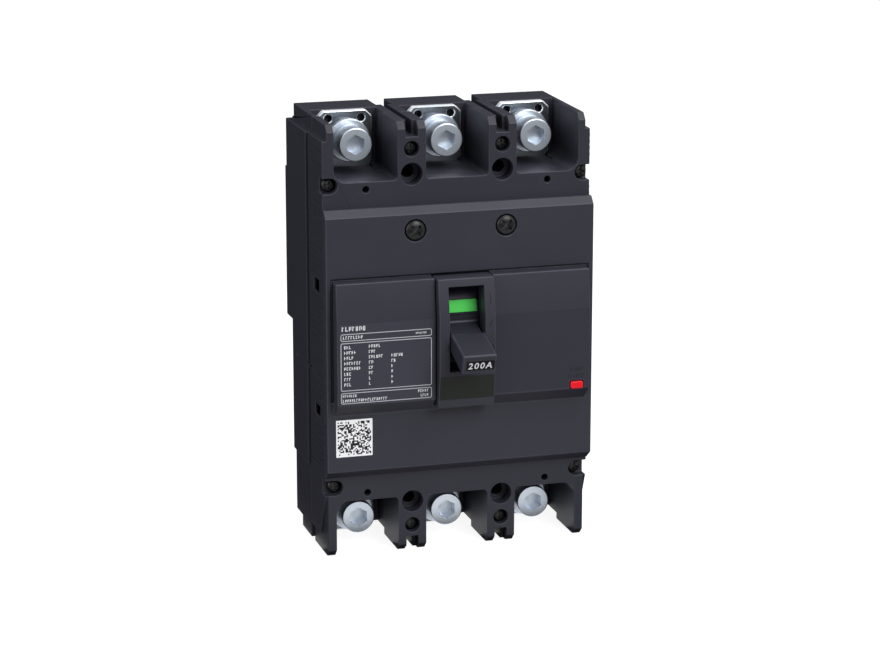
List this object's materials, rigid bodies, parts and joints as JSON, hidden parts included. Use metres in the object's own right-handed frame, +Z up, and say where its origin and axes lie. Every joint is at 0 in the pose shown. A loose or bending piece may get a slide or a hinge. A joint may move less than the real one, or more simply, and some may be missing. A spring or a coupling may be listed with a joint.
{
  "type": "molded case breaker",
  "caption": "Molded case breaker with a toggle handle, bolted terminals in deep pockets, a trip button and its contact mechanism inside.",
  "frame": {"origin": "centre of the rear mounting face", "axes": "+X to the right seen from the front, +Y out of the rear face into the mounting plate, +Z up towards the line terminals"},
  "size_m": [0.105, 0.0849, 0.165],
  "materials": {
    "case_plastic": "molded thermoset, matt dark grey",
    "cover_plastic": "molded plastic, fine matt grain, dark grey",
    "handle_plastic": "molded plastic, matt dark grey",
    "green_plastic": "green strip",
    "red_plastic": "red molded plastic",
    "tinned_copper": "tin plated copper",
    "bolt_steel": "zinc plated steel, satin",
    "black_screw": "blackened steel",
    "steel": "zinc plated sheet steel",
    "copper": "bare copper",
    "insulator": "brown molded thermoset",
    "spring_steel": "spring wire",
    "bimetal": "bimetal strip"
  },
  "bodies": {
    "case": {"base": "case_plastic", "middle_cover": "case_plastic", "front_cover": "cover_plastic", "handle_escutcheon": "cover_plastic", "cover_screw_left": "black_screw", "cover_screw_right": "black_screw", "trip_button_spring": "spring_steel", "barrier_screw_top_left": "black_screw", "corner_screw_top_left": "black_screw", "barrier_screw_top_right": "black_screw", "corner_screw_top_right": "black_screw", "terminal_bolt_top_left": "bolt_steel", "washer_set_top_left": "bolt_steel", "terminal_bolt_top_centre": "bolt_steel", "washer_set_top_centre": "bolt_steel", "terminal_bolt_top_right": "bolt_steel", "washer_set_top_right": "bolt_steel", "barrier_screw_bottom_left": "black_screw", "corner_screw_bottom_left": "black_screw", "barrier_screw_bottom_right": "black_screw", "corner_screw_bottom_right": "black_screw", "terminal_bolt_bottom_left": "bolt_steel", "washer_set_bottom_left": "bolt_steel", "terminal_bolt_bottom_centre": "bolt_steel", "washer_set_bottom_centre": "bolt_steel", "terminal_bolt_bottom_right": "bolt_steel", "washer_set_bottom_right": "bolt_steel", "line_terminal_left": "tinned_copper", "load_terminal_left": "tinned_copper", "flexible_shunt_left": "copper", "arc_chute_left": "steel", "bimetal_left": "bimetal", "line_terminal_centre": "tinned_copper", "load_terminal_centre": "tinned_copper", "flexible_shunt_centre": "copper", "arc_chute_centre": "steel", "bimetal_centre": "bimetal", "line_terminal_right": "tinned_copper", "load_terminal_right": "tinned_copper", "flexible_shunt_right": "copper", "arc_chute_right": "steel", "bimetal_right": "bimetal", "mechanism_frame": "steel", "cradle": "steel", "main_spring_left": "spring_steel", "main_spring_right": "spring_steel"},
    "handle": {"handle": "handle_plastic", "off_flag": "green_plastic", "handle_yoke": "steel"},
    "crossbar": {"crossbar": "insulator", "contact_arm_left": "copper", "contact_arm_centre": "copper", "contact_arm_right": "copper"},
    "upper_link": {"upper_link": "steel"},
    "lower_link": {"lower_link": "steel"},
    "trip_button": {"trip_button": "red_plastic"},
    "trip_bar": {"trip_bar": "insulator"},
    "armature_left": {"armature_left": "steel"},
    "armature_centre": {"armature_centre": "steel"},
    "armature_right": {"armature_right": "steel"}
  },
  "joints": [
    {"name": "handle_swing", "type": "hinge", "parent": "case", "child": "handle", "pos_m": [0, -0.044, 0.009], "axis": [-1, 0, 0], "range_deg": [0, 35], "deforming": ["main_spring_left", "main_spring_right"]},
    {"name": "crossbar_turn", "type": "hinge", "parent": "case", "child": "crossbar", "pos_m": [0, -0.016, -0.012], "axis": [-1, 0, 0], "range_deg": [0, 25], "deforming": ["flexible_shunt_left", "flexible_shunt_centre", "flexible_shunt_right"]},
    {"name": "upper_link_swing", "type": "hinge", "parent": "case", "child": "upper_link", "pos_m": [0, -0.038, -0.018], "axis": [-1, 0, 0], "range_deg": [0, 19.44]},
    {"name": "knee_swing", "type": "hinge", "parent": "upper_link", "child": "lower_link", "pos_m": [0, -0.0372, -0.00606], "axis": [-1, 0, 0], "range_deg": [-40.53, 0]},
    {"name": "trip_button_press", "type": "slide", "parent": "case", "child": "trip_button", "axis": [0, 1, 0], "range_m": [0, 0.002], "stiffness_N_per_m": 300, "springref_m": -0.001, "deforming": ["trip_button_spring"]},
    {"name": "trip_bar_turn", "type": "hinge", "parent": "case", "child": "trip_bar", "pos_m": [0, -0.03, -0.033], "axis": [-1, 0, 0], "range_deg": [0, 8.4]},
    {"name": "armature_left_swing", "type": "hinge", "parent": "case", "child": "armature_left", "pos_m": [-0.035, -0.009, -0.04475], "axis": [-1, 0, 0], "range_deg": [0, 6.5], "stiffness_Nm_per_rad": 0.02, "springref_deg": -5.73},
    {"name": "armature_centre_swing", "type": "hinge", "parent": "case", "child": "armature_centre", "pos_m": [0, -0.009, -0.04475], "axis": [-1, 0, 0], "range_deg": [0, 6.5], "stiffness_Nm_per_rad": 0.02, "springref_deg": -5.73},
    {"name": "armature_right_swing", "type": "hinge", "parent": "case", "child": "armature_right", "pos_m": [0.035, -0.009, -0.04475], "axis": [-1, 0, 0], "range_deg": [0, 6.5], "stiffness_Nm_per_rad": 0.02, "springref_deg": -5.73}
  ],
  "couplings": [
    {"joint": "crossbar_turn", "follows": "handle_swing", "ratio": 0.71429},
    {"joint": "upper_link_swing", "follows": "handle_swing", "ratio": 0.55537},
    {"joint": "knee_swing", "follows": "handle_swing", "ratio": -1.1578},
    {"joint": "trip_bar_turn", "follows": "trip_button_press", "rad_per_m": 73}
  ]
}
